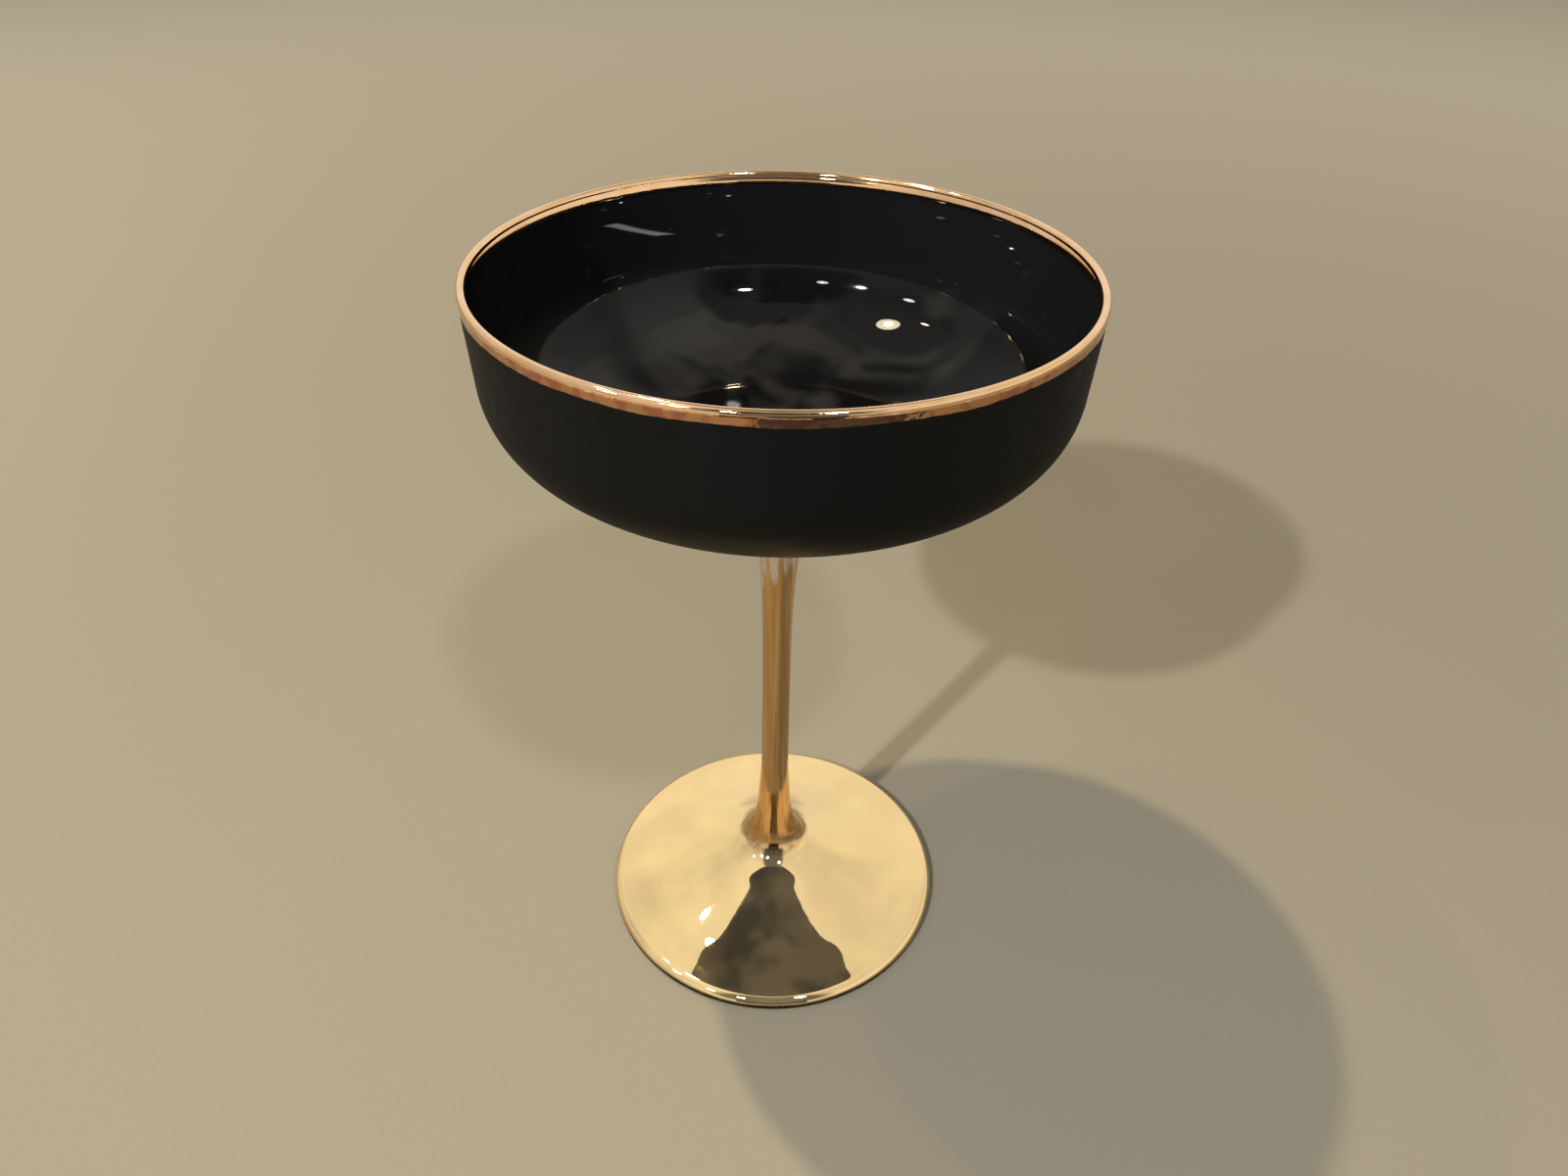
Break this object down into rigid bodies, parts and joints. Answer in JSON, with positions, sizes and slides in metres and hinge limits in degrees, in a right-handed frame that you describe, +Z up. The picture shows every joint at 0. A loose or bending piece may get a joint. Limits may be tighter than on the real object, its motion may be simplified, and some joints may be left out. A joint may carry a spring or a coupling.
{
  "type": "martini glass",
  "caption": "Stemmed martini glass of the coupe pattern: black upright-walled bowl, gold lip band, slender gold-plated stem and trumpet foot.",
  "frame": {"origin": "centre of the circle on which the foot stands, at table level", "axes": "+Z up along the stem's axis; the glass is round, so X and Y are arbitrary; -Y faces the viewer"},
  "size_m": [0.106, 0.106, 0.155],
  "materials": {
    "bowl_glass": "polished soda-lime glass that reads deep gloss black, because black lacquer lies on its outer face",
    "bowl_lacquer": "sprayed black lacquer, matte and very finely grained",
    "rim_band": "fired copper-gold lustre, bright on the lip and mottled at its hand-painted lower edge",
    "clear_glass": "clear soda-lime glass, drawn or pressed, with faint waviness",
    "stem_plating": "bright gold plating with fine streaks along the stem",
    "foot_plating": "mirror-bright pale gold plating with faint ripples and hairline marks"
  },
  "bodies": {
    "root": {"bowl_glass": "bowl_glass", "bowl_lacquer": "bowl_lacquer", "rim_band": "rim_band", "stem_glass": "clear_glass", "stem_plating": "stem_plating", "foot_glass": "clear_glass", "foot_plating": "foot_plating"}
  },
  "joints": []
}
